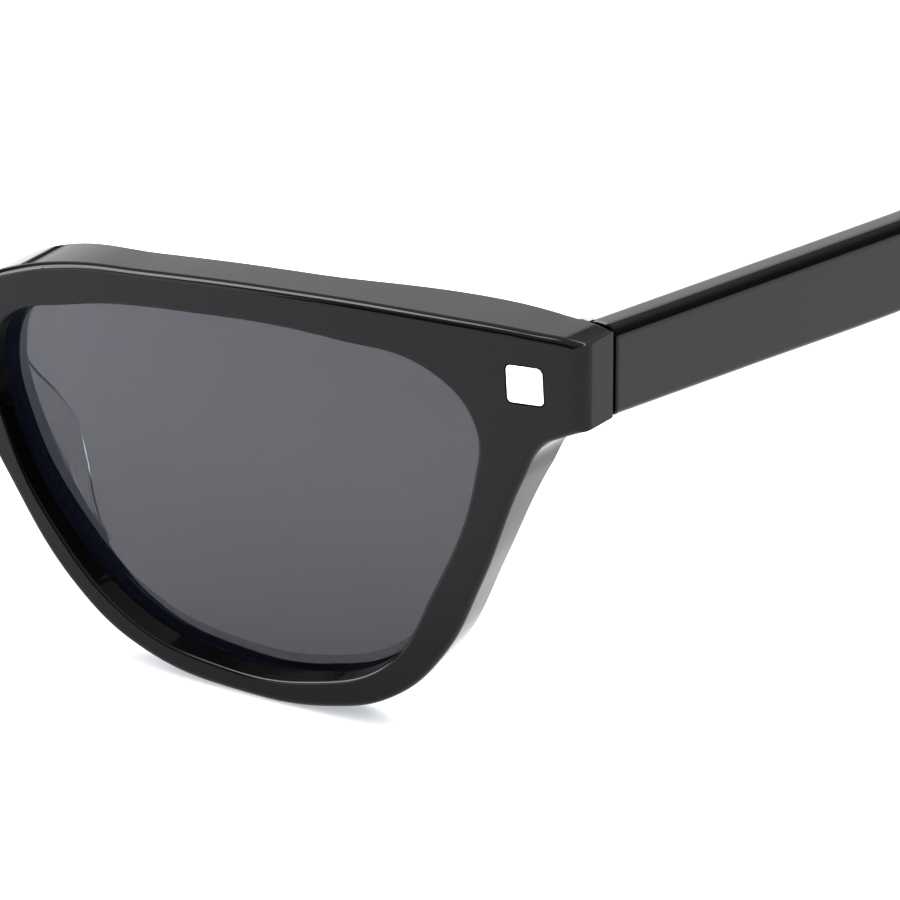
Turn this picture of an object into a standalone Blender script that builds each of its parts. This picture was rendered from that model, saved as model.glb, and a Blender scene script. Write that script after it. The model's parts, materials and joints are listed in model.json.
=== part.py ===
"""Cat eye sunglasses: an acetate front on three-and-two knuckle hinges, metres, +Z up.

The front stands upright with its rims on z = 0 and looks along -Y.
The temples run back along +Y and slope down to their ear tips, which also touch z = 0.
"""
import math

import bmesh
import bpy
from mathutils import Matrix, Vector

MM = 0.001
GAP = 0.3 * MM

# Front
WRAP_RADIUS = 350.0 * MM        # the front is bent round an upright cylinder
FRONT_THICK = 4.9 * MM
FRONT_EDGE = 0.6 * MM           # rounded edge of the front
BUTT_Y = 11.7 * MM              # flat back of the end piece, where the temple butts
END_START = 66.8 * MM           # where that flat back starts
BLEND_TOP = 42.0 * MM           # the top wall starts to turn square here
BLEND_LOW = 61.0 * MM           # and the lower wall here
BLEND_Z = (30.0 * MM, 36.0 * MM)

# Lens
LENS_THICK = 2.0 * MM
LENS_SEAT = 0.8 * MM            # how far the lens reaches into the rim
LENS_DEPTH = 0.35 * MM          # vertex of the lens behind the front face
LENS_RADIUS = 130.0 * MM
LENS_CENTRE = (35.0 * MM, 20.5 * MM)

# Temple
TEMPLE_START = BUTT_Y + GAP
TEMPLE_THICK = 3.7 * MM
TEMPLE_TIP_THICK = 3.0 * MM
TEMPLE_EDGE = 0.9 * MM
TEMPLE_OUT = 71.4 * MM          # outer face at the hinge
TEMPLE_SPLAY = 0.0175
TEMPLE_BEND_FROM = 55.0 * MM
TEMPLE_BEND_IN = 0.95           # inward curve, per metre
TEMPLE_THIN_FROM = 60.0 * MM    # the temple thins from here over the next stretch
TEMPLE_THIN_OVER = 80.0 * MM
TEMPLE_LENGTH_Y = 147.0 * MM
CORE_RADIUS = 0.6 * MM
CORE_INSET = 0.35 * MM          # the core lies this far inside the middle of the temple
BORE_START = (11.0, 38.62)      # the bore is open at the butt end of the temple
BORE_END = (134.8, 10.5)

# Hinge
AXIS_X = 65.9 * MM
AXIS_Y = 15.0 * MM
HINGE_Z = 37.6 * MM
KNUCKLE_R = 1.5 * MM
KNUCKLE_H = 0.95 * MM
KNUCKLES = 5
SCREW_R = 0.55 * MM
SCREW_HEAD_R = 1.1 * MM
SCREW_HEAD_H = 0.55 * MM
SCREW_NECK = 0.2 * MM           # the shank reaches this far into the head
SLOT_HALF = 0.13 * MM
SLOT_FLOOR = 0.3 * MM           # above the underside of the head

# Hinge leaves and the studs that hold them
FRONT_LEAF_X = (61.0 * MM, 65.4 * MM)
FRONT_LEAF_Y = (11.75 * MM, 12.7 * MM)
FRONT_ARM_LOW = (64.42 * MM, 12.2 * MM)
TEMPLE_LEAF_Y = (16.6 * MM, 24.0 * MM)
TEMPLE_LEAF_PROUD = 0.5 * MM
TEMPLE_LEAF_SUNK = 0.4 * MM
TEMPLE_LEAF_DROP = 0.6 * MM     # its top below the top knuckle
TEMPLE_ARM_Y = (AXIS_Y + 0.35 * MM, 17.2 * MM)
LEAF_SEAT_Y = 13.2 * MM
STUD_R = 0.6 * MM
STUD_LENGTH = 1.3 * MM
FRONT_STUD_X = 63.1 * MM
FRONT_STUD_Y = (8.9 * MM, 12.2 * MM)
FRONT_STUD_Z = (HINGE_Z - 0.9 * MM, HINGE_Z + 1.5 * MM)
TEMPLE_STUDS = ((18.6 * MM, HINGE_Z + 1.35 * MM), (21.8 * MM, HINGE_Z - 1.75 * MM))

# Shield
SHIELD_U = 65.65 * MM           # measured along the face
SHIELD_Z = 37.8 * MM
SHIELD_SIDE = 3.7 * MM
SHIELD_EDGE = 0.25 * MM
SHIELD_THICK = 0.8 * MM
SHIELD_TURN = math.radians(3.4)
PIN_R = 0.4 * MM
PIN_LENGTH = 2.2 * MM
PIN_PLACES = (-0.95 * MM, 0.95 * MM)

# Nose pad
PAD_HALF = (2.1 * MM, 6.2 * MM, 8.6 * MM)
PAD_CENTRE = (8.9 * MM, 4.6 * MM, 18.2 * MM)
PAD_LEAN = math.radians(31.0)
PAD_FLARE = math.radians(14.0)

# The origin is under the middle of the whole object
SHIFT_Y = -0.5 * TEMPLE_LENGTH_Y

# Half outline of the front, from the top of the bridge outward and back under the nose
OUTLINE = [(0, 33.4), (4.4, 33.85), (9.4, 36.6), (15.8, 38.9), (25.2, 40.35), (41.1, 42.0), (57.5, 42.85),
           (65.8, 43.0), (70.9, 42.75), (71.55, 42.1), (71.65, 35.0), (71.2, 34.15), (69.3, 33.1),
           (67.1, 31.7), (65.15, 27.9), (61.1, 16.65), (57.1, 8.4), (52.1, 3.3), (45.5, 0.8),
           (36.1, 0.05), (25.3, 1.65), (17.9, 6.0), (9.0, 17.05), (4.2, 24.8), (0, 27.6)]

LENS = [(8.3, 27.3), (10.0, 31.8), (17.0, 34.95), (31.2, 37.5), (46.2, 38.25), (56.0, 37.1), (60.5, 32.7),
        (60.5, 27.1), (56.4, 14.6), (51.8, 6.5), (43.0, 2.95), (33.2, 2.4), (24.1, 4.6),
        (14.9, 12.5), (9.8, 21.05)]

# Side outline of the temple (Y, Z), from the top of the butt end back to the ear tip
TEMPLE = [(12.0, 42.9), (34, 40.3), (58, 37.5), (90, 33.75), (109, 31.3), (124.5, 24.9), (139.5, 12.7),
          (147, 4.4), (143.9, 0.0), (135.9, 5.4), (121.5, 18.0), (103.5, 25.2), (80, 27.3),
          (57.4, 28.95), (37.7, 31.4), (12.0, 34.5)]
TEMPLE_CORNERS = (0, 15)

CORE = [(12.2, 38.5), (40, 35.6), (70, 32.0), (92, 29.7), (107, 28.0), (117.5, 24.5),
        (126.5, 18.1), (134.5, 10.7)]


def clear_scene():
    """Remove every object that is in the file."""
    for thing in list(bpy.data.objects):
        bpy.data.objects.remove(thing, do_unlink=True)


def make_collection(name):
    """Return a new collection linked to the scene."""
    group = bpy.data.collections.new(name)
    bpy.context.scene.collection.children.link(group)
    return group


def make_material(name, colour, metallic=0.0, roughness=0.3, alpha=1.0, transmission=0.0):
    """Return a Principled material."""
    mat = bpy.data.materials.new(name)
    mat.use_nodes = True
    shader = mat.node_tree.nodes["Principled BSDF"]
    shader.inputs["Base Color"].default_value = (*colour, 1.0)
    shader.inputs["Metallic"].default_value = metallic
    shader.inputs["Roughness"].default_value = roughness
    shader.inputs["Alpha"].default_value = alpha
    shader.inputs["Transmission Weight"].default_value = transmission
    return mat


def add_mesh(name, mesh, group, mat=None):
    """Link a mesh as a named object."""
    thing = bpy.data.objects.new(name, mesh)
    mesh.name = name
    group.objects.link(thing)
    if mat is not None:
        mesh.materials.clear()
        mesh.materials.append(mat)
    return thing


def clean(mesh):
    """Weld the mesh and turn its faces outward."""
    work = bmesh.new()
    work.from_mesh(mesh)
    bmesh.ops.remove_doubles(work, verts=work.verts, dist=1e-6)
    bmesh.ops.recalc_face_normals(work, faces=work.faces)
    work.to_mesh(mesh)
    work.free()
    return mesh


def add_spline(curve, points, corners=(), steps=3, cyclic=True):
    """Add one Bezier spline through points given in millimetres."""
    spline = curve.splines.new("BEZIER")
    spline.bezier_points.add(len(points) - 1)
    for i, (x, z) in enumerate(points):
        point = spline.bezier_points[i]
        point.co = (x * MM, z * MM, 0)
        kind = "VECTOR" if i in corners else "AUTO"
        point.handle_left_type = point.handle_right_type = kind
    spline.use_cyclic_u = cyclic
    spline.resolution_u = steps


def plate_mesh(name, loops, thick, edge=0.0, grow=0.0, corners=(), steps=4, rounds=1):
    """Return a flat plate in XY, centred on z = 0, cut from closed loops with rounded edges."""
    curve = bpy.data.curves.new(name, "CURVE")
    curve.dimensions = "2D"
    curve.fill_mode = "BOTH"
    curve.extrude = 0.5 * thick - edge
    curve.bevel_depth = edge
    curve.bevel_resolution = rounds
    curve.offset = grow - edge
    for loop in loops:
        add_spline(curve, loop, corners, steps)
    return curve_mesh(curve)


def curve_mesh(curve):
    """Turn a curve into a clean mesh and remove the curve."""
    holder = bpy.data.objects.new(curve.name, curve)
    bpy.context.scene.collection.objects.link(holder)
    bpy.context.view_layer.update()
    graph = bpy.context.evaluated_depsgraph_get()
    mesh = bpy.data.meshes.new_from_object(holder.evaluated_get(graph))
    bpy.data.objects.remove(holder, do_unlink=True)
    bpy.data.curves.remove(curve)
    return clean(mesh)


def slice_mesh(mesh, axis, start, stop, count):
    """Add evenly spaced cuts across the mesh, so that it can be bent smoothly."""
    work = bmesh.new()
    work.from_mesh(mesh)
    normal = Vector((0, 0, 0))
    normal[axis] = 1
    for i in range(count + 1):
        at = Vector((0, 0, 0))
        at[axis] = start + (stop - start) * i / count
        parts = list(work.verts) + list(work.edges) + list(work.faces)
        bmesh.ops.bisect_plane(work, geom=parts, dist=2e-6, plane_co=at, plane_no=normal)
    work.to_mesh(mesh)
    work.free()


def reshape(mesh, rule):
    """Move every vertex by a rule."""
    for vertex in mesh.vertices:
        vertex.co = rule(vertex.co)
    return mesh


def upright(co):
    """Stand a flat plate up: its face looks along -Y and its depth runs to +Y."""
    return Vector((co.x, 0.5 * FRONT_THICK - co.z, co.y))


def smooth(t):
    """Ease from 0 to 1."""
    t = min(max(t, 0.0), 1.0)
    return t * t * (3 - 2 * t)


def wrap(co):
    """Bend a point of the upright front round the wrap cylinder and square up the end pieces."""
    side = 1.0 if co.x >= 0 else -1.0
    u = abs(co.x)
    turn = u / WRAP_RADIUS
    x = WRAP_RADIUS * math.sin(turn)
    y = WRAP_RADIUS * (1 - math.cos(turn))
    blend = BLEND_LOW + (BLEND_TOP - BLEND_LOW) * smooth((co.z - BLEND_Z[0]) / (BLEND_Z[1] - BLEND_Z[0]))
    square = smooth((u - blend) / (END_START - blend))
    depth = co.y * ((1 - square) + square * (BUTT_Y - y) / FRONT_THICK)
    lean = turn * (1 - square)
    return Vector((side * (x - depth * math.sin(lean)), y + depth * math.cos(lean), co.z))


def dish(co):
    """Dome the lens over the flat front."""
    du = abs(co.x) - LENS_CENTRE[0]
    dz = co.z - LENS_CENTRE[1]
    across = 0.5 / LENS_RADIUS - 0.5 / WRAP_RADIUS
    along = 0.5 / LENS_RADIUS
    return Vector((co.x, co.y + across * du * du + along * dz * dz, co.z))


def mirrored(mesh, name):
    """Return the mirror image of a mesh across X = 0."""
    twin = mesh.copy()
    twin.name = name
    twin.transform(Matrix.Scale(-1, 4, Vector((1, 0, 0))))
    twin.flip_normals()
    return twin


def boolean(target, cutter, operation="DIFFERENCE"):
    """Apply one EXACT Boolean to an object."""
    modifier = target.modifiers.new("cut", "BOOLEAN")
    modifier.operation = operation
    modifier.solver = "EXACT"
    modifier.object = cutter
    bpy.context.view_layer.update()
    graph = bpy.context.evaluated_depsgraph_get()
    mesh = bpy.data.meshes.new_from_object(target.evaluated_get(graph))
    target.modifiers.remove(modifier)
    old = target.data
    name = old.name
    target.data = mesh
    bpy.data.meshes.remove(old)
    mesh.name = name


def box(name, low, high, group):
    """Return a box object from its two corners."""
    bpy.ops.mesh.primitive_cube_add(size=1.0, location=(0, 0, 0))
    thing = bpy.context.object
    size = [b - a for a, b in zip(low, high)]
    middle = [0.5 * (a + b) for a, b in zip(low, high)]
    thing.data.transform(Matrix.Translation(middle) @ Matrix.Diagonal((*size, 1.0)))
    return regroup(thing, name, group)


def rod(name, radius, start, stop, group, sides=24):
    """Return a cylinder object between two points."""
    start, stop = Vector(start), Vector(stop)
    axis = stop - start
    bpy.ops.mesh.primitive_cylinder_add(vertices=sides, radius=radius, depth=axis.length)
    thing = bpy.context.object
    turn = axis.to_track_quat("Z", "Y").to_matrix().to_4x4()
    thing.data.transform(Matrix.Translation(0.5 * (start + stop)) @ turn)
    return regroup(thing, name, group)


def regroup(thing, name, group):
    """Name an object and move it to a collection."""
    thing.name = name
    thing.data.name = name
    for old in list(thing.users_collection):
        old.objects.unlink(thing)
    group.objects.link(thing)
    return thing


def temple_shape(co):
    """Place a flat temple plate (x = Y, y = Z, z = thickness) at the wearer's left."""
    y = co.x
    back = max(0.0, y - TEMPLE_BEND_FROM)
    outer = TEMPLE_OUT + TEMPLE_SPLAY * (y - TEMPLE_START) - TEMPLE_BEND_IN * back * back
    far = smooth((y - TEMPLE_THIN_FROM) / TEMPLE_THIN_OVER)
    thick = TEMPLE_THICK + (TEMPLE_TIP_THICK - TEMPLE_THICK) * far
    inset = (0.5 - co.z / TEMPLE_THICK) * thick
    return Vector((outer - inset, y, co.y))


def knuckle_z(i):
    """Return the bottom of a knuckle, counted from the lowest."""
    pitch = KNUCKLE_H + GAP
    return HINGE_Z - 0.5 * (KNUCKLES * KNUCKLE_H + (KNUCKLES - 1) * GAP) + i * pitch


def knuckle_top():
    """Return the top of the highest knuckle."""
    return knuckle_z(KNUCKLES - 1) + KNUCKLE_H


def front_mesh():
    """Return the bent front with its lens openings."""
    outer = OUTLINE + [(-x, z) for x, z in reversed(OUTLINE[1:-1])]
    lens_right = [(-x, z) for x, z in LENS]
    mesh = plate_mesh("frame_front", [outer, list(reversed(LENS)), lens_right],
                      FRONT_THICK, FRONT_EDGE, rounds=1)
    return mesh


def lens_plate(name, thick, edge, grow):
    """Return a domed lens-shaped plate for the wearer's left, standing in the flat front."""
    mesh = plate_mesh(name, [LENS], thick, edge, grow, rounds=0)
    slice_mesh(mesh, 0, 6 * MM, 64 * MM, 8)
    slice_mesh(mesh, 1, 0 * MM, 42 * MM, 6)
    middle = LENS_DEPTH + 0.5 * LENS_THICK
    reshape(mesh, lambda co: Vector((co.x, middle - co.z, co.y)))
    return reshape(mesh, dish)


def build_front(group, cutters, mat):
    """Build the front: plate, lens grooves and wrap, then the seats of shields, studs and pads."""
    mesh = reshape(front_mesh(), upright)
    front = add_mesh("frame_front", mesh, group, mat)
    groove = lens_plate("groove", LENS_THICK + 2 * GAP, 0.0, LENS_SEAT + GAP)
    for name, shape in (("groove_left", groove), ("groove_right", mirrored(groove, "groove_right"))):
        boolean(front, add_mesh(name, shape, cutters))
    slice_mesh(front.data, 0, -72 * MM, 72 * MM, 24)
    reshape(front.data, wrap)
    return front


def both_sides(thing, name, group, mat):
    """Name the left piece and add its mirror image; return both objects."""
    left = regroup(thing, name + "_left", group)
    left.data.materials.clear()
    left.data.materials.append(mat)
    right = add_mesh(name + "_right", mirrored(left.data, name + "_right"), group, mat)
    return left, right


def cut_both(target, cutter, cutters):
    """Cut a mirrored pair of holes in a piece that spans both sides."""
    twin = add_mesh(cutter.name + "_twin", mirrored(cutter.data, cutter.name + "_twin"), cutters)
    boolean(target, cutter)
    boolean(target, twin)


def front_frame(u, z, depth):
    """Return the matrix of a place on the bent front: local X outward, local Y into the acetate."""
    turn = u / WRAP_RADIUS
    x, y = WRAP_RADIUS * math.sin(turn), WRAP_RADIUS * (1 - math.cos(turn))
    spot = Vector((x - depth * math.sin(turn), y + depth * math.cos(turn), z))
    return Matrix.Translation(spot) @ Matrix.Rotation(turn, 4, "Z")


def shield_shape(name, group, spare, gap=0.0, rise=0.0):
    """Return the square shield with its two pins, or its seat when a gap is given."""
    half = 0.5 * SHIELD_SIDE + gap
    plate = box(name, (-half, -rise, -half), (half, SHIELD_THICK + gap, half), group)
    if gap == 0.0:
        soften(plate, SHIELD_EDGE, 2)
    for at in PIN_PLACES:
        pin = rod(name + "_pin", PIN_R + gap, (0, 0.5 * SHIELD_THICK, at),
                  (0, SHIELD_THICK + PIN_LENGTH + gap, at), spare, 16)
        boolean(plate, pin, "UNION")
    place = front_frame(SHIELD_U, SHIELD_Z, 0.0)
    plate.data.transform(place @ Matrix.Rotation(-SHIELD_TURN, 4, "Y"))
    return plate


def soften(thing, width, segments):
    """Round the sharp edges of a piece."""
    modifier = thing.modifiers.new("round", "BEVEL")
    modifier.width = width
    modifier.segments = segments
    modifier.limit_method = "ANGLE"
    modifier.angle_limit = math.radians(40)
    bpy.context.view_layer.update()
    graph = bpy.context.evaluated_depsgraph_get()
    mesh = bpy.data.meshes.new_from_object(thing.evaluated_get(graph))
    thing.modifiers.remove(modifier)
    old = thing.data
    thing.data = mesh
    bpy.data.meshes.remove(old)
    mesh.name = thing.name


def build_shields(front, group, cutters, mat):
    """Build the square shields and cut their seats."""
    seat = shield_shape("shield_seat", cutters, cutters, GAP, 2 * MM)
    cut_both(front, seat, cutters)
    return both_sides(shield_shape("shield", group, cutters), "shield", group, mat)


def build_lenses(group, mat):
    """Build the domed lenses that sit in the rim grooves."""
    mesh = lens_plate("lens", LENS_THICK, 0.35 * MM, LENS_SEAT)
    reshape(mesh, wrap)
    return both_sides(add_mesh("lens", mesh, group), "lens", group, mat)


def hollow(thing, start, stop, radius, cutters, sides=20):
    """Drill a round hole through a piece."""
    boolean(thing, rod(thing.name + "_drill", radius, start, stop, cutters, sides))


def knuckle_bores(leaf, cutters):
    """Drill the screw hole through the knuckles of a leaf."""
    low, high = knuckle_z(0) - MM, knuckle_top() + MM
    hollow(leaf, (AXIS_X, AXIS_Y, low), (AXIS_X, AXIS_Y, high), SCREW_R + GAP, cutters)


def add_knuckles(leaf, which, low, high, cutters):
    """Join knuckles to a leaf; low and high are the XY corners of the arm behind each one."""
    for i in which:
        z = knuckle_z(i)
        barrel = rod("knuckle", KNUCKLE_R, (AXIS_X, AXIS_Y, z), (AXIS_X, AXIS_Y, z + KNUCKLE_H), cutters)
        boolean(leaf, barrel, "UNION")
        arm = box("arm", (low[0], low[1], z), (high[0], high[1], z + KNUCKLE_H), cutters)
        boolean(leaf, arm, "UNION")


def build_front_leaf(front, group, cutters, mat):
    """Build the hinge leaf behind the end piece, with two studs sunk in the front."""
    (x0, x1), (y0, y1) = FRONT_LEAF_X, FRONT_LEAF_Y
    leaf = box("hinge_front", (x0, y0, knuckle_z(0)), (x1, y1, knuckle_top()), group)
    add_knuckles(leaf, (0, 2, 4), FRONT_ARM_LOW, (x1, AXIS_Y), cutters)
    tip, foot = FRONT_STUD_Y
    for z in FRONT_STUD_Z:
        stud = rod("stud", STUD_R, (FRONT_STUD_X, foot, z), (FRONT_STUD_X, tip, z), cutters, 16)
        boolean(leaf, stud, "UNION")
        seat = rod("stud_seat", STUD_R + GAP, (FRONT_STUD_X, foot + 2 * MM, z),
                   (FRONT_STUD_X, tip - GAP, z), cutters, 16)
        cut_both(front, seat, cutters)
    knuckle_bores(leaf, cutters)
    return both_sides(leaf, "hinge_front", group, mat)


def build_temple_leaf(temple, group, cutters, mat):
    """Build the hinge leaf let into the inner face of the temple, with two sunk studs."""
    inner = TEMPLE_OUT - TEMPLE_THICK
    bottom, top = knuckle_z(0), knuckle_top() - TEMPLE_LEAF_DROP
    sunk = inner + TEMPLE_LEAF_SUNK
    (y0, y1), (arm_low, arm_high) = TEMPLE_LEAF_Y, TEMPLE_ARM_Y
    leaf = box("hinge_temple", (inner - TEMPLE_LEAF_PROUD, y0, bottom), (sunk, y1, top), group)
    add_knuckles(leaf, (1, 3), (AXIS_X, arm_low), (inner + 0.1 * MM, arm_high), cutters)
    seat = box("leaf_seat", (inner - MM, LEAF_SEAT_Y, bottom - GAP),
               (sunk + GAP, y1 + GAP, top + GAP), cutters)
    boolean(temple, seat)
    end = inner + STUD_LENGTH
    for y, z in TEMPLE_STUDS:
        boolean(leaf, rod("stud", STUD_R, (inner, y, z), (end, y, z), cutters, 16), "UNION")
        hole = rod("stud_seat", STUD_R + GAP, (inner - MM, y, z), (end + GAP, y, z), cutters, 16)
        boolean(temple, hole)
    knuckle_bores(leaf, cutters)
    return both_sides(leaf, "hinge_temple", group, mat)


def build_screws(group, cutters, mat):
    """Build the slotted hinge screws."""
    bottom, top = knuckle_z(0) - GAP, knuckle_top() + GAP
    axis = (AXIS_X, AXIS_Y)
    screw = rod("hinge_screw", SCREW_R, (*axis, bottom), (*axis, top + SCREW_NECK), group, 20)
    head = rod("screw_head", SCREW_HEAD_R, (*axis, top), (*axis, top + SCREW_HEAD_H), cutters, 24)
    boolean(screw, head, "UNION")
    slot = box("slot", (AXIS_X - 2 * MM, AXIS_Y - SLOT_HALF, top + SLOT_FLOOR),
               (AXIS_X + 2 * MM, AXIS_Y + SLOT_HALF, top + MM), cutters)
    boolean(screw, slot)
    return both_sides(screw, "hinge_screw", group, mat)


def core_mesh(name, radius, points, steps):
    """Return a round wire along the middle of the left temple."""
    curve = bpy.data.curves.new(name, "CURVE")
    curve.dimensions = "3D"
    curve.bevel_depth = radius
    curve.bevel_resolution = 1
    curve.use_fill_caps = True
    add_spline(curve, points, (), steps, False)

    def along(co):
        middle = temple_shape(Vector((co.x, co.y, CORE_INSET)))
        return Vector((middle.x + co.z, co.x, co.y))

    return reshape(curve_mesh(curve), along)


def build_temple(group, cutters, mat, metal):
    """Build the temple with its bored core."""
    mesh = plate_mesh("temple", [TEMPLE], TEMPLE_THICK, TEMPLE_EDGE, 0.0, TEMPLE_CORNERS, 4, 2)
    slice_mesh(mesh, 0, TEMPLE_START, TEMPLE_LENGTH_Y, 22)
    reshape(mesh, temple_shape)
    temple = add_mesh("temple_left", clean(mesh), group, mat)
    open_core = [BORE_START] + CORE[1:-1] + [BORE_END]
    bore = add_mesh("core_bore", core_mesh("core_bore", CORE_RADIUS + GAP, open_core, 4), cutters)
    boolean(temple, bore)
    core = add_mesh("temple_core", core_mesh("temple_core", CORE_RADIUS, CORE, 4), group)
    both_sides(core, "temple_core", group, metal)
    return temple


def build_pads(front, group, cutters, mat):
    """Build the clear nose pads behind the nasal rims."""
    bpy.ops.mesh.primitive_uv_sphere_add(segments=28, ring_count=18, radius=1.0)
    pad = regroup(bpy.context.object, "nose_pad", group)
    turn = Matrix.Rotation(PAD_LEAN, 4, "Y").inverted() @ Matrix.Rotation(-PAD_FLARE, 4, "Z")
    pad.data.transform(Matrix.Translation(PAD_CENTRE) @ turn @ Matrix.Diagonal((*PAD_HALF, 1.0)))
    back = FRONT_THICK + GAP
    keep = box("pad_plane", (-20 * MM, back - 20 * MM, 0), (40 * MM, back, 42 * MM), cutters)
    slice_mesh(keep.data, 0, -18 * MM, 38 * MM, 14)
    reshape(keep.data, lambda co: Vector((co.x, co.y + 0.5 * co.x * co.x / WRAP_RADIUS, co.z)))
    boolean(pad, keep)
    return both_sides(pad, "nose_pad", group, mat)


def main():
    """Build every piece and set the whole on its origin."""
    clear_scene()
    group = make_collection("cat_eye_sunglasses")
    cutters = make_collection("cutters")
    acetate = make_material("front_acetate", (0.01, 0.01, 0.011), 0.0, 0.12)
    temple_acetate = make_material("temple_acetate", (0.01, 0.01, 0.011), 0.0, 0.12)
    smoke = make_material("smoke_lens", (0.05, 0.05, 0.055), 0.0, 0.05, 0.6, 0.6)
    clear = make_material("clear_acetate", (0.9, 0.9, 0.9), 0.0, 0.08, 0.5, 0.8)
    silver = make_material("silver_shield", (0.85, 0.84, 0.8), 1.0, 0.2)
    steel = make_material("hinge_steel", (0.5, 0.5, 0.5), 1.0, 0.3)
    screw_steel = make_material("screw_steel", (0.6, 0.6, 0.6), 1.0, 0.25)
    core_steel = make_material("core_steel", (0.55, 0.55, 0.55), 1.0, 0.3)
    front = build_front(group, cutters, acetate)
    build_lenses(group, smoke)
    build_shields(front, group, cutters, silver)
    build_front_leaf(front, group, cutters, steel)
    temple = build_temple(group, cutters, temple_acetate, core_steel)
    build_temple_leaf(temple, group, cutters, steel)
    both_sides(temple, "temple", group, temple_acetate)
    build_screws(group, cutters, screw_steel)
    build_pads(front, group, cutters, clear)
    for thing in group.objects:
        thing.data.transform(Matrix.Translation((0, SHIFT_Y, 0)))
        side = -1 if thing.name.endswith("_right") else 1
        if thing.name.startswith(("temple", "hinge_temple")):
            pivot = Vector((side * AXIS_X, AXIS_Y + SHIFT_Y, HINGE_Z))
            thing.data.transform(Matrix.Translation(-pivot))
            thing.location = pivot
    for thing in cutters.objects:
        thing.hide_render = True
        thing.display_type = "WIRE"


main()
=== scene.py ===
"""Looks of a pair of cat eye sunglasses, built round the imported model.

The polished acetate, the lenses, the pads, the square shields and the hinges are modelled again here,
finely enough for their gloss, and each one rides on the body of the solid that it stands for.
"""
import json
import logging
import math
from dataclasses import dataclass
from enum import Enum
from typing import Callable, Sequence

import bpy
import numpy as np
from mathutils import Matrix, Vector

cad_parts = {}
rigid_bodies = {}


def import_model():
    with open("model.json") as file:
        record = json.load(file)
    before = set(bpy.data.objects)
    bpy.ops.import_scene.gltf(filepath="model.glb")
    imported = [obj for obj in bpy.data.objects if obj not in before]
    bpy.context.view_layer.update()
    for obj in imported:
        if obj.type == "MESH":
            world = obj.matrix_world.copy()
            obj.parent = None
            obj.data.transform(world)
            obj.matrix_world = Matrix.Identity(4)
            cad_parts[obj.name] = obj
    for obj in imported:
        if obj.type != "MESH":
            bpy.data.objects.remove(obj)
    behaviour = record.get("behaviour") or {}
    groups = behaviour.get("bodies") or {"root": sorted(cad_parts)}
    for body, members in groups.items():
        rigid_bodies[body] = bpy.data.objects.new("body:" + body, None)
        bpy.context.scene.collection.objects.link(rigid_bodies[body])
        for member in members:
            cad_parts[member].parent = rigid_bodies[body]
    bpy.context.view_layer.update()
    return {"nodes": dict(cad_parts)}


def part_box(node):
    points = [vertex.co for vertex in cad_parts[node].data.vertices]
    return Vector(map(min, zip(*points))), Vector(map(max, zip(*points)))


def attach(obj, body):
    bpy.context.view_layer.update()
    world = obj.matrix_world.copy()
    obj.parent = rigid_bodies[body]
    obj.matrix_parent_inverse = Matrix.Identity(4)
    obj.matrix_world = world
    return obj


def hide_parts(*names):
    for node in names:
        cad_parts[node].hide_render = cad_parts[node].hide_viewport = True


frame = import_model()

LOG = logging.getLogger("sunglasses")

MM = 0.001
START_Y = float(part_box("frame_front")[0][1])      # foremost point of the front, at the bridge

Points = Sequence[tuple[float, float]]


class Side(Enum):
    """The wearer's left or right, with the sign of its X."""

    LEFT = 1
    RIGHT = -1

    @property
    def word(self) -> str:
        """Return the ending that the names of this side have."""
        return self.name.lower()


# --------------------------------------------------------------------------------------
# Bench: the hand tools
# --------------------------------------------------------------------------------------


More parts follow.
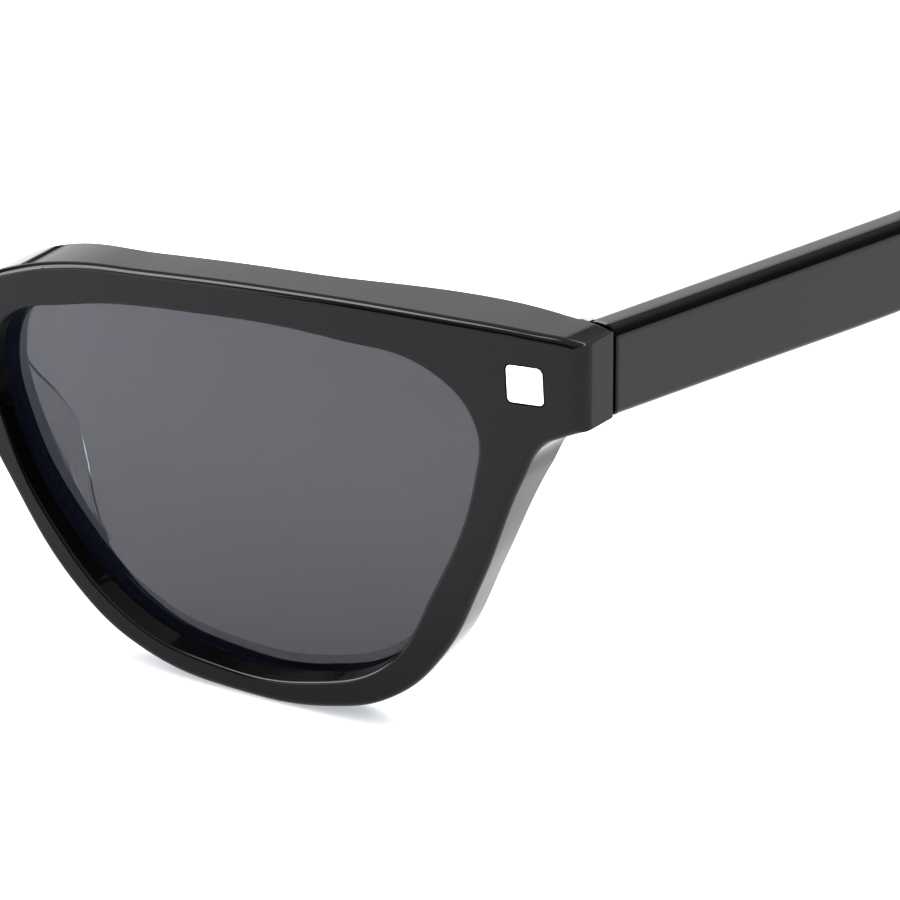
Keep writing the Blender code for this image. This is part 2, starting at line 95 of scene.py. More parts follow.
class Bench:
    """Modelling tools that work on one object at a time."""

    @staticmethod
    def pick(obj: bpy.types.Object) -> None:
        """Make an object the only selected one."""
        for other in bpy.context.view_layer.objects:
            other.select_set(False)
        obj.select_set(True)
        bpy.context.view_layer.objects.active = obj

    @staticmethod
    def edit(obj: bpy.types.Object, work: Callable[[], None]) -> None:
        """Run work in edit mode with everything selected.

        Args:
            obj: the mesh object.
            work: calls the edit operators.
        """
        Bench.pick(obj)
        bpy.ops.object.mode_set(mode="EDIT")
        bpy.ops.mesh.select_all(action="SELECT")
        work()
        bpy.ops.object.mode_set(mode="OBJECT")

    @staticmethod
    def settle(obj: bpy.types.Object) -> None:
        """Move an object's place, turn and scale into its mesh."""
        Bench.pick(obj)
        bpy.ops.object.transform_apply(location=True, rotation=True, scale=True)

    @staticmethod
    def weld(obj: bpy.types.Object, distance: float = 2e-6) -> None:
        """Merge doubled vertices and turn the faces outwards."""

        def work() -> None:
            bpy.ops.mesh.remove_doubles(threshold=distance)
            bpy.ops.mesh.normals_make_consistent(inside=False)

        Bench.edit(obj, work)

    @staticmethod
    def slice(obj: bpy.types.Object, axis: int, places: Sequence[float]) -> None:
        """Cut extra edges across a mesh, so that it can be bent smoothly.

        Args:
            obj: the mesh object.
            axis: 0, 1 or 2.
            places: where the cuts stand along the axis, in metres.
        """
        normal = [0.0, 0.0, 0.0]
        normal[axis] = 1.0

        def work() -> None:
            for place in places:
                bpy.ops.mesh.select_all(action="SELECT")
                bpy.ops.mesh.bisect(plane_co=[place * n for n in normal], plane_no=normal, threshold=2e-6)

        Bench.edit(obj, work)

    @staticmethod
    def form(obj: bpy.types.Object, rule: Callable[[np.ndarray], np.ndarray]) -> None:
        """Press a mesh into a new form.

        Args:
            obj: the mesh object.
            rule: takes and returns an array of points, one row each.
        """
        mesh = obj.data
        flat = np.empty(len(mesh.vertices) * 3)
        mesh.vertices.foreach_get("co", flat)
        mesh.vertices.foreach_set("co", rule(flat.reshape(-1, 3)).ravel())
        mesh.update()

    @staticmethod
    def modifier(obj: bpy.types.Object, kind: str, **settings: object) -> None:
        """Add one modifier and apply it."""
        Bench.pick(obj)
        bpy.ops.object.modifier_add(type=kind)
        added = obj.modifiers[-1]
        for name, value in settings.items():
            setattr(added, name, value)
        bpy.ops.object.modifier_apply(modifier=added.name)

    @staticmethod
    def cut(obj: bpy.types.Object, tool: bpy.types.Object, operation: str = "DIFFERENCE") -> None:
        """Cut a tool out of an object, or join it on, and throw the tool away."""
        Bench.modifier(obj, "BOOLEAN", operation=operation, solver="EXACT", object=tool)
        bpy.data.objects.remove(tool, do_unlink=True)

    @staticmethod
    def soften(obj: bpy.types.Object, width: float, segments: int = 2, angle: float = 35.0) -> None:
        """Round the sharp edges of an object."""
        Bench.modifier(obj, "BEVEL", width=width, segments=segments, limit_method="ANGLE",
                       angle_limit=math.radians(angle), harden_normals=False)

    @staticmethod
    def edges(obj: bpy.types.Object, test: Callable[[Vector, Vector], bool]) -> list[int]:
        """Return the numbers of the edges whose two ends together pass a test."""
        verts = obj.data.vertices
        return [edge.index for edge in obj.data.edges
                if test(verts[edge.vertices[0]].co, verts[edge.vertices[1]].co)]

    @staticmethod
    def round_edges(obj: bpy.types.Object, chosen: Sequence[int], radius: float, segments: int) -> None:
        """Round chosen edges of an object."""
        Bench.pick(obj)
        bpy.ops.object.mode_set(mode="EDIT")
        bpy.ops.mesh.select_all(action="DESELECT")
        bpy.ops.mesh.select_mode(type="EDGE")
        bpy.ops.object.mode_set(mode="OBJECT")
        for index in chosen:
            obj.data.edges[index].select = True
        bpy.ops.object.mode_set(mode="EDIT")
        bpy.ops.mesh.bevel(offset=radius, segments=segments, affect="EDGES", profile=0.5)
        bpy.ops.object.mode_set(mode="OBJECT")

    @staticmethod
    def polish(obj: bpy.types.Object, angle: float = 40.0) -> None:
        """Shade smooth, with flat faces kept flat up to their rounded edges."""
        Bench.pick(obj)
        bpy.ops.object.shade_smooth_by_angle(angle=math.radians(angle))
        Bench.modifier(obj, "WEIGHTED_NORMAL", keep_sharp=True, weight=80)

    @staticmethod
    def rename(obj: bpy.types.Object, name: str) -> bpy.types.Object:
        """Give an object and its mesh one name and return it."""
        obj.name = name
        obj.data.name = name
        return obj

    @staticmethod
    def mirror(obj: bpy.types.Object, name: str) -> bpy.types.Object:
        """Return the mirror image of an object across X = 0, with its own mesh."""
        twin = obj.copy()
        twin.data = obj.data.copy()
        bpy.context.collection.objects.link(twin)
        Bench.rename(twin, name)
        twin.scale = (-1.0, 1.0, 1.0)
        Bench.settle(twin)
        Bench.edit(twin, lambda: bpy.ops.mesh.normals_make_consistent(inside=False))
        return twin

    @staticmethod
    def block(name: str, low: Sequence[float], high: Sequence[float]) -> bpy.types.Object:
        """Return a block between two corners."""
        low, high = np.array(low), np.array(high)
        bpy.ops.mesh.primitive_cube_add(size=1.0, location=(low + high) / 2, scale=high - low)
        obj = bpy.context.object
        Bench.settle(obj)
        return Bench.rename(obj, name)

    @staticmethod
    def rod(name: str, radius: float, start: Sequence[float], end: Sequence[float],
            sides: int = 48) -> bpy.types.Object:
        """Return a round rod between two points."""
        start, end = Vector(start), Vector(end)
        run = end - start
        bpy.ops.mesh.primitive_cylinder_add(vertices=sides, radius=radius, depth=run.length,
                                            location=(start + end) / 2,
                                            rotation=run.to_track_quat("Z", "Y").to_euler())
        obj = bpy.context.object
        Bench.settle(obj)
        return Bench.rename(obj, name)

    @staticmethod
    def sweep(name: str, rings: Sequence[np.ndarray]) -> bpy.types.Object:
        """Return a closed skin drawn through rings of points.

        Args:
            name: the object's name.
            rings: equal numbers of points, in order round each ring.

        Returns:
            The mesh object, closed by a face at each end.
        """
        count = len(rings[0])
        bpy.ops.mesh.primitive_circle_add(vertices=count, radius=1.0, fill_type="NGON")
        obj = Bench.rename(bpy.context.object, name)
        Bench.settle(obj)

        def work() -> None:
            for _ in rings[1:]:
                bpy.ops.mesh.extrude_region_move()

        Bench.edit(obj, work)
        order = Bench.ring_order(obj.data, count)
        points = np.empty((len(obj.data.vertices), 3))
        for ring, verts in zip(rings, order):
            points[verts] = ring
        Bench.form(obj, lambda _: points)
        Bench.weld(obj, 1e-7)
        return obj

    @staticmethod
    def ring_order(mesh: bpy.types.Mesh, count: int) -> list[list[int]]:
        """Return the vertices of each ring of a stacked extrusion, from its first ring on."""
        links: dict[int, set[int]] = {}
        for edge in mesh.edges:
            a, b = edge.vertices
            links.setdefault(a, set()).add(b)
            links.setdefault(b, set()).add(a)
        rings = [list(range(count))]
        used = set(rings[0])
        while len(used) < len(mesh.vertices):
            following = []
            for vert in rings[-1]:
                new = [n for n in links[vert] if n not in used and n not in following]
                following.append(new[0])
            rings.append(following)
            used.update(following)
        return rings


# --------------------------------------------------------------------------------------
# Finishes
# --------------------------------------------------------------------------------------


@dataclass(frozen=True)
class Finish:
    """A surface finish: one Principled shader with fine procedural wear.

    Attributes:
        name: the material's name.
        colour: base colour, linear.
        metallic: 0 for acetate and glass, 1 for metal.
        roughness: lowest and highest roughness, mixed by the wear pattern.
        ior: index of refraction.
        alpha: share of the light that the surface stops.
        transmission: share of the light that passes and bends.
        grain: size of the wear pattern, in marks per metre.
        stretch: how far the pattern is drawn out along X, Y and Z.
        relief: height of the finest marks, in metres.
        mottle: how much the base colour varies.
    """

    name: str
    colour: tuple[float, float, float]
    metallic: float = 0.0
    roughness: tuple[float, float] = (0.05, 0.1)
    ior: float = 1.49
    alpha: float = 1.0
    transmission: float = 0.0
    grain: float = 900.0
    stretch: tuple[float, float, float] = (1.0, 1.0, 1.0)
    relief: float = 2e-6
    mottle: float = 0.15

    def make(self) -> bpy.types.Material:
        """Return the material."""
        mat = bpy.data.materials.new(self.name)
        mat.use_nodes = True
        tree = mat.node_tree
        shader = tree.nodes["Principled BSDF"]
        shader.inputs["Metallic"].default_value = self.metallic
        shader.inputs["IOR"].default_value = self.ior
        shader.inputs["Alpha"].default_value = self.alpha
        shader.inputs["Transmission Weight"].default_value = self.transmission
        wear = self.pattern(tree)
        rough = self.ramp(tree, wear, self.roughness[0], self.roughness[1])
        tree.links.new(rough, shader.inputs["Roughness"])
        dark = [c * (1.0 - self.mottle) for c in self.colour]
        tint = tree.nodes.new("ShaderNodeMix")
        tint.data_type = "RGBA"
        tint.inputs["A"].default_value = (*dark, 1.0)
        tint.inputs["B"].default_value = (*self.colour, 1.0)
        tree.links.new(wear, tint.inputs["Factor"])
        tree.links.new(tint.outputs["Result"], shader.inputs["Base Color"])
        bump = tree.nodes.new("ShaderNodeBump")
        bump.inputs["Distance"].default_value = self.relief
        bump.inputs["Strength"].default_value = 1.0
        tree.links.new(wear, bump.inputs["Height"])
        tree.links.new(bump.outputs["Normal"], shader.inputs["Normal"])
        return mat

    def pattern(self, tree: bpy.types.NodeTree) -> bpy.types.NodeSocket:
        """Return the socket of the wear pattern, from 0 to 1."""
        place = tree.nodes.new("ShaderNodeTexCoord")
        mapping = tree.nodes.new("ShaderNodeMapping")
        mapping.inputs["Scale"].default_value = self.stretch
        tree.links.new(place.outputs["Object"], mapping.inputs["Vector"])
        noise = tree.nodes.new("ShaderNodeTexNoise")
        noise.inputs["Scale"].default_value = self.grain
        noise.inputs["Detail"].default_value = 5.0
        noise.inputs["Roughness"].default_value = 0.55
        tree.links.new(mapping.outputs["Vector"], noise.inputs["Vector"])
        return noise.outputs["Fac"]

    def ramp(self, tree: bpy.types.NodeTree, value: bpy.types.NodeSocket,
             low: float, high: float) -> bpy.types.NodeSocket:
        """Return a socket that spreads the pattern's middle over low to high."""
        node = tree.nodes.new("ShaderNodeMapRange")
        node.inputs["From Min"].default_value = 0.35
        node.inputs["From Max"].default_value = 0.65
        node.inputs["To Min"].default_value = low
        node.inputs["To Max"].default_value = high
        tree.links.new(value, node.inputs["Value"])
        return node.outputs["Result"]


BLACK_ACETATE = Finish("black_acetate", (0.004, 0.0041, 0.0043), roughness=(0.05, 0.09), grain=260.0,
                       relief=1.5e-6, mottle=0.2)
SMOKE_LENS = Finish("smoke_lens", (0.009, 0.011, 0.024), roughness=(0.015, 0.03), grain=60.0,
                    alpha=0.723, ior=1.6, relief=0.0, mottle=0.05)
CLEAR_ACETATE = Finish("clear_acetate", (0.97, 0.97, 0.965), roughness=(0.03, 0.07), transmission=1.0,
                       grain=180.0, relief=3e-6, mottle=0.02)
SILVER_PLATE = Finish("silver_plate", (0.92, 0.91, 0.875), metallic=1.0, roughness=(0.12, 0.24),
                      grain=1400.0, stretch=(0.15, 1.0, 1.0), relief=1.5e-6, mottle=0.05)
NICKEL_SILVER = Finish("nickel_silver", (0.66, 0.64, 0.6), metallic=1.0, roughness=(0.22, 0.38),
                       grain=1800.0, stretch=(1.0, 1.0, 0.12), relief=2e-6, mottle=0.12)
SCREW_STEEL = Finish("screw_steel", (0.6, 0.6, 0.61), metallic=1.0, roughness=(0.18, 0.32),
                     grain=2600.0, stretch=(1.0, 0.2, 1.0), relief=2e-6, mottle=0.12)
CORE_STEEL = Finish("core_steel", (0.55, 0.55, 0.55), metallic=1.0, roughness=(0.25, 0.4),
                    grain=2000.0, stretch=(1.0, 0.1, 1.0), relief=2e-6, mottle=0.15)
WHITE_TABLE = Finish("white_table", (0.9, 0.9, 0.9), roughness=(0.55, 0.7), grain=400.0,
                     relief=0.0, mottle=0.01)


class Paint:
    """Makes each finish once and dresses objects in it."""

    def __init__(self) -> None:
        self.made: dict[str, bpy.types.Material] = {}

    def get(self, finish: Finish) -> bpy.types.Material:
        """Return the material of a finish."""
        if finish.name not in self.made:
            self.made[finish.name] = finish.make()
        return self.made[finish.name]

    def dress(self, obj: bpy.types.Object, finish: Finish) -> None:
        """Give a whole object one finish."""
        obj.data.materials.clear()
        obj.data.materials.append(self.get(finish))

    def redress(self, node: str, finish: Finish) -> None:
        """Give a kept solid a finish in place of its plain one."""
        for slot in frame["nodes"][node].material_slots:
            slot.material = self.get(finish)


def hand_in(obj: bpy.types.Object, body: str, node: str) -> None:
    """Tell the frame what a finished piece rides on and stands for."""
    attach(obj, body)
    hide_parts(node)
    LOG.info("%s: %d faces on %s", obj.name, len(obj.data.polygons), body)


# --------------------------------------------------------------------------------------
# Shapes that pieces share
# --------------------------------------------------------------------------------------


def ease(t: np.ndarray) -> np.ndarray:
    """Return t eased from 0 to 1."""
    t = np.clip(t, 0, 1)
    return t * t * (3 - 2 * t)


@dataclass(frozen=True)
class Wrap:
    """The bend of the front round an upright cylinder, with squared end pieces.

    Attributes:
        radius: of the cylinder.
        thick: thickness of the front.
        butt: depth of the flat back of the end piece behind the foremost point.
        blend: where the lower and the upper wall start to turn square, from the middle out.
        blend_height: heights where the lower wall ends and the upper one starts.
        square: where the end piece is square.
        nasal: how much thicker the front is at the nose.
        nasal_span: where that extra thickness starts to fade and where it is gone.
    """

    radius: float = 350 * MM
    thick: float = 4.9 * MM
    butt: float = 11.7 * MM
    blend: tuple[float, float] = (61.0 * MM, 42.0 * MM)
    blend_height: tuple[float, float] = (30.0 * MM, 36.0 * MM)
    square: float = 66.8 * MM
    nasal: float = 1.0 * MM
    nasal_span: tuple[float, float] = (13.0 * MM, 23.0 * MM)

    def bend(self, points: np.ndarray) -> np.ndarray:
        """Return flat points bent: X is along the front, Y is depth behind its face."""
        side = np.where(points[:, 0] >= 0, 1.0, -1.0)
        along = np.abs(points[:, 0])
        turn = along / self.radius
        x = self.radius * np.sin(turn)
        y = self.radius * (1 - np.cos(turn))
        foot, head = self.blend_height
        blend = self.blend[0] + (self.blend[1] - self.blend[0]) * ease((points[:, 2] - foot) / (head - foot))
        square = ease((along - blend) / (self.square - blend))
        low, high = self.nasal_span
        extra = square * (self.butt - y - self.thick) + self.nasal * ease((high - along) / (high - low))
        depth = points[:, 1] + extra * np.clip(points[:, 1] / self.thick, 0, 1) ** 2
        lean = turn * (1 - square)
        out = np.empty_like(points)
        out[:, 0] = side * (x - depth * np.sin(lean))
        out[:, 1] = START_Y + y + depth * np.cos(lean)
        out[:, 2] = points[:, 2]
        return out


WRAP = Wrap()


def spline_rows(knots: np.ndarray, steps: int) -> np.ndarray:
    """Return rows along a smooth curve through the knots.

    Args:
        knots: one row for each knot.
        steps: rows from one knot to the next.
    """
    ends = np.vstack([2 * knots[0] - knots[1], knots, 2 * knots[-1] - knots[-2]])
    rows = []
    for a, b, c, d in zip(ends, ends[1:], ends[2:], ends[3:]):
        for t in np.arange(steps) / steps:
            rows.append(0.5 * (2 * b + (c - a) * t + (2 * a - 5 * b + 4 * c - d) * t ** 2
                               + (3 * b - a - 3 * c + d) * t ** 3))
    return np.array(rows + [knots[-1]])


def bent_curve(name: str, loops: Sequence[Points], steps: int) -> bpy.types.Curve:
    """Return a flat curve with smooth closed splines through points given in millimetres."""
    curve = bpy.data.curves.new(name, "CURVE")
    curve.dimensions = "2D"
    for loop in loops:
        spline = curve.splines.new("BEZIER")
        spline.bezier_points.add(len(loop) - 1)
        for point, (x, z) in zip(spline.bezier_points, loop):
            point.co = (x * MM, z * MM, 0)
            point.handle_left_type = point.handle_right_type = "AUTO"
        spline.use_cyclic_u = True
        spline.resolution_u = steps
    return curve


def mesh_of(curve: bpy.types.Curve) -> bpy.types.Object:
    """Turn a curve into a mesh object."""
    obj = bpy.data.objects.new(curve.name, curve)
    bpy.context.collection.objects.link(obj)
    Bench.pick(obj)
    bpy.ops.object.convert(target="MESH")
    return Bench.rename(bpy.context.object, curve.name)


def loop_points(loop: Points, steps: int) -> np.ndarray:
    """Return points in metres round a smooth closed outline, in order."""
    curve = bent_curve("loop", [loop], steps)
    curve.fill_mode = "NONE"
    obj = mesh_of(curve)
    points = np.array([vertex.co[:2] for vertex in obj.data.vertices])
    bpy.data.objects.remove(obj, do_unlink=True)
    return points


def flat_plate(name: str, loops: Sequence[Points], thick: float, edge: float, grow: float = 0.0,
               rounds: int = 3) -> bpy.types.Object:
    """Return an upright flat plate with rounded edges, cut to closed outlines.

    Args:
        name: the object's name.
        loops: outlines in millimetres, X and Z; an inner one is a hole.
        thick: thickness of the plate.
        edge: radius of its rounded edges.
        grow: how far the outline is let out.
        rounds: fineness of the rounded edge.

    Returns:
        The mesh object, with its face at Y = 0 and its back at Y = thick.
    """
    curve = bent_curve(name, loops, 12)
    curve.fill_mode = "BOTH"
    curve.extrude = thick / 2 - edge
    curve.bevel_depth = edge
    curve.bevel_resolution = rounds
    curve.offset = grow - edge
    obj = mesh_of(curve)
    Bench.weld(obj)
    Bench.form(obj, lambda p: np.stack([p[:, 0], thick / 2 - p[:, 2], p[:, 1]], axis=1))
    return obj


# --------------------------------------------------------------------------------------
# Front
# --------------------------------------------------------------------------------------

OUTLINE = ((0, 33.4), (4.4, 33.85), (9.4, 36.6), (15.8, 38.9), (25.2, 40.35), (41.1, 42.0), (57.5, 42.85),
           (65.8, 43.0), (71.6, 42.75), (73.7, 42.0), (74.6, 40.0), (74.6, 37.0), (73.8, 35.2), (71.65, 34.2),
           (69.3, 33.1),
           (67.1, 31.7), (65.15, 27.9), (61.1, 16.65), (57.1, 8.4), (52.1, 3.3), (45.5, 0.8),
           (36.1, 0.05), (25.3, 1.65), (17.9, 6.0), (9.0, 17.05), (4.2, 24.8), (0, 27.6))
OPENING = ((8.3, 27.3), (10.0, 31.8), (17.0, 34.95), (31.2, 37.5), (46.2, 38.25), (56.0, 37.1), (60.5, 32.7),
           (60.5, 27.1), (56.15, 14.7), (51.5, 6.75), (43.0, 2.95), (33.2, 2.4), (24.1, 4.6),
           (14.9, 12.5), (9.8, 21.05))


@dataclass
class Lens:
    """A domed smoke lens and the groove that it sits in.

    Attributes:
        thick: thickness of the lens.
        seat: how far it reaches into the rim.
        depth: its foremost point behind the face of the front.
        radius: of its dome.
        centre: middle of the dome, along the front and up.
        play: gap between the lens and its groove.
        span: where the upright cuts that let it dome start and end.
        rise: where the level cuts start and end.
    """

    thick: float = 1.7 * MM
    seat: float = 0.8 * MM
    depth: float = 0.2 * MM
    radius: float = 130.0 * MM
    centre: tuple[float, float] = (35.0 * MM, 27.0 * MM)
    play: float = 0.06 * MM
    span: tuple[float, float] = (7.0 * MM, 63.0 * MM)
    rise: tuple[float, float] = (1.0 * MM, 40.0 * MM)

    def blank(self, name: str, extra: float, edge: float, pitch: float) -> bpy.types.Object:
        """Return the domed blank of the left lens in the flat front.

        Args:
            name: the object's name.
            extra: how much larger it is all round than the lens.
            edge: radius of its edge.
            pitch: distance between the cuts that let it dome.
        """
        thick = self.thick + 2 * extra
        obj = flat_plate(name, [OPENING], thick, edge, self.seat + extra, rounds=2 if edge else 0)
        Bench.slice(obj, 0, np.arange(*self.span, pitch))
        Bench.slice(obj, 2, np.arange(*self.rise, pitch))

        def dome(points: np.ndarray) -> np.ndarray:
            out = points.copy()
            du, dz = points[:, 0] - self.centre[0], points[:, 2] - self.centre[1]
            flat_bend = 0.5 / self.radius - 0.5 / WRAP.radius
            out[:, 1] += self.depth - extra + flat_bend * du ** 2 + 0.5 / self.radius * dz ** 2
            return out

        Bench.form(obj, dome)
        return obj

    def build(self, paint: Paint) -> None:
        """Build both lenses."""
        left = self.blank("smoke_lens_left", 0.0, 0.3 * MM, 2.0 * MM)
        Bench.form(left, WRAP.bend)
        Bench.polish(left)
        right = Bench.mirror(left, "smoke_lens_right")
        for obj, side in ((left, Side.LEFT), (right, Side.RIGHT)):
            paint.dress(obj, SMOKE_LENS)
            hand_in(obj, "front", f"lens_{side.word}")


@dataclass
class Shield:
    """A square metal shield let into the end piece.

    Attributes:
        along: its middle along the bent front.
        height: its middle above the table.
        side: length of its side.
        corner: radius of its corners.
        turn: its turn with the sweep of the end piece, in degrees.
        thick: its thickness.
        proud: how far it stands out of the face.
    """

    along: float = 65.65 * MM
    height: float = 37.8 * MM
    side: float = 3.72 * MM
    corner: float = 0.5 * MM
    turn: float = 3.4
    thick: float = 0.8 * MM
    proud: float = 0.04 * MM

    def tile(self, name: str, extra: float, low: float, high: float, edge: float) -> bpy.types.Object:
        """Return a rounded square tile in the left end piece, while the front is still flat.

        Args:
            name: the object's name.
            extra: how much larger it is all round than the shield.
            low: depth of its face.
            high: depth of its back.
            edge: radius of the rim of its face.
        """
        half = self.side / 2 + extra
        obj = Bench.block(name, (-half, low, -half), (half, high, half))
        sides = Bench.edges(obj, lambda a, b: abs(a.y - b.y) > 1e-6)
        Bench.round_edges(obj, sides, self.corner + extra, 6)
        if edge:
            rim = Bench.edges(obj, lambda a, b: abs(a.y - low) < 1e-7 and abs(b.y - low) < 1e-7)
            Bench.round_edges(obj, rim, edge, 3)
        obj.data.transform(Matrix.Translation((self.along, 0, self.height))
                           @ Matrix.Rotation(-math.radians(self.turn), 4, "Y"))
        return obj

    def build(self, paint: Paint) -> None:
        """Build both shields."""
        left = self.tile("silver_shield_left", 0.0, -self.proud, self.thick, 0.1 * MM)
        Bench.form(left, WRAP.bend)
        Bench.polish(left, 50.0)
        right = Bench.mirror(left, "silver_shield_right")
        for obj, side in ((left, Side.LEFT), (right, Side.RIGHT)):
            paint.dress(obj, SILVER_PLATE)
            hand_in(obj, "front", f"shield_{side.word}")


@dataclass
class Front:
    """The black acetate front: rims, bridge and end pieces.

    Attributes:
        edge: radius of the rounded outer edges.
        corner: radius of the upright front corners of the end pieces.
        trim: how much thicker the blank is before its back is cut flat.
        reach: half the length of the blank.
        lip: radius of the edges of the lens openings.
        arris: radius of the edges that are left sharp.
        pitch: distance between the cuts that let it bend.
    """

    edge: float = 0.75 * MM
    corner: float = 1.3 * MM
    trim: float = 0.55 * MM
    reach: float = 71.65 * MM
    lip: float = 0.38 * MM
    arris: float = 0.1 * MM
    pitch: float = 3.0 * MM

    def opening_tool(self) -> bpy.types.Object:
        """Return the tool of the left opening, flared where it leaves the face and the back."""
        loop = loop_points(OPENING, 12)
        ahead, behind = np.roll(loop, -1, axis=0), np.roll(loop, 1, axis=0)
        run = ahead - behind
        normal = np.stack([run[:, 1], -run[:, 0]], axis=1) / np.linalg.norm(run, axis=1, keepdims=True)
        if np.sum(normal * (loop - loop.mean(axis=0))) < 0:
            normal = -normal
        flare = [(-0.6 * MM, 2 * self.lip), (-0.003 * MM, 1.03 * self.lip)]
        flare += [(self.lip * (1 - math.cos(a)), self.lip * (1 - math.sin(a)))
                  for a in np.radians(np.linspace(9, 90, 8))]
        profile = flare + [(WRAP.thick - depth, wide) for depth, wide in reversed(flare)]
        rings = []
        for depth, wide in profile:
            ring = loop + normal * wide
            rings.append(np.stack([ring[:, 0], np.full(len(ring), depth), ring[:, 1]], axis=1))
        return Bench.sweep("opening", rings)

    def trim_blank(self, obj: bpy.types.Object) -> None:
        """Cut the flat blank to its thickness and length, with crisp back edges and soft front corners."""
        keep = Bench.block("keep", (-self.reach, -0.01 * MM, -5 * MM), (self.reach, WRAP.thick, 60 * MM))
        uprights = Bench.edges(keep, lambda a, b: a.y < 0 and b.y < 0 and abs(a.z - b.z) > MM)
        Bench.round_edges(keep, uprights, self.corner, 8)
        Bench.cut(obj, keep, "INTERSECT")

    def build(self, paint: Paint, lens: Lens, shield: Shield) -> None:
        """Build the front, with the lens openings, their grooves and the seats of the shields."""
        outer = list(OUTLINE) + [(-x, z) for x, z in reversed(OUTLINE[1:-1])]
        obj = flat_plate("acetate_front", [outer], WRAP.thick + self.trim, self.edge, rounds=4)
        self.trim_blank(obj)
        seat = shield.tile("seat", 0.1 * MM, -2.0 * MM, shield.thick + 0.1 * MM, 0.0)
        for tool in (self.opening_tool(), lens.blank("groove", lens.play, 0.0, 6.0 * MM), seat):
            twin = Bench.mirror(tool, "twin")
            Bench.cut(obj, tool)
            Bench.cut(obj, twin)
        Bench.soften(obj, self.arris, 2, 62.0)
        Bench.slice(obj, 0, np.arange(-self.reach + 0.6 * self.pitch, self.reach, self.pitch))
        Bench.slice(obj, 2, np.linspace(*WRAP.blend_height, 5))
        Bench.form(obj, WRAP.bend)
        Bench.polish(obj)
        paint.dress(obj, BLACK_ACETATE)
        hand_in(obj, "front", "frame_front")


@dataclass
class NosePad:
    """A clear fin bonded along the back of the nasal rim.

    Attributes:
        thick: thickness at the foot and at the rounded back edge.
        sunk: how far the foot reaches under the back of the front.
        flare: flare of the fin towards the cheek, in degrees.
    """

    thick: tuple[float, float] = (2.6 * MM, 1.5 * MM)
    sunk: float = 0.03 * MM
    flare: float = 14.0

    # X and Z of the foot and height of the fin behind the front, in millimetres
    stations = ((6.1, 27.6, 0.05), (6.5, 25.8, 0.5), (7.3, 23.4, 1.5), (8.4, 20.5, 3.2), (9.9, 17.5, 4.1),
                (11.9, 14.5, 3.2), (14.2, 11.6, 1.7), (16.2, 9.5, 0.7), (17.3, 8.5, 0.05))

    def profile(self, height: float) -> np.ndarray:
        """Return the rounded section of the fin: across and behind its foot."""
        foot, rim = self.thick[0] / 2, self.thick[1] / 2
        round_off = min(rim, height * 0.7)
        wall = [(foot + (rim - foot) * math.sin(t * math.pi / 2), t * (height - round_off))
                for t in np.arange(1, 6) / 6]
        crown = [(rim * math.cos(turn), height - round_off + round_off * math.sin(turn))
                 for turn in np.linspace(0, math.pi, 13)]
        outer = [(foot, -self.sunk), (foot, 0.0)] + wall
        inner = [(-across, behind) for across, behind in reversed(outer)]
        return np.array(outer + crown + inner)

    def build(self, paint: Paint) -> None:
        """Build both pads."""
        rows = spline_rows(np.array(self.stations) * MM, 8)
        slope = np.gradient(rows[:, :2], axis=0)
        slope /= np.linalg.norm(slope, axis=1, keepdims=True)
        flare = math.radians(self.flare)
        rings = []
        for (x, z, height), (dx, dz) in zip(rows, slope):
            profile = self.profile(max(height, 0.05 * MM))
            across = profile[:, 0] + profile[:, 1] * math.sin(flare)
            behind = WRAP.thick + profile[:, 1] * math.cos(flare)
            rings.append(np.stack([x - dz * across, behind, z + dx * across], axis=1))
        left = Bench.sweep("clear_pad_left", rings)
        Bench.form(left, WRAP.bend)
        Bench.weld(left, 1e-7)
        Bench.polish(left, 60.0)
        right = Bench.mirror(left, "clear_pad_right")
        for pad, side in ((left, Side.LEFT), (right, Side.RIGHT)):
            paint.dress(pad, CLEAR_ACETATE)
            hand_in(pad, "front", f"nose_pad_{side.word}")


# --------------------------------------------------------------------------------------
# Temples
# --------------------------------------------------------------------------------------


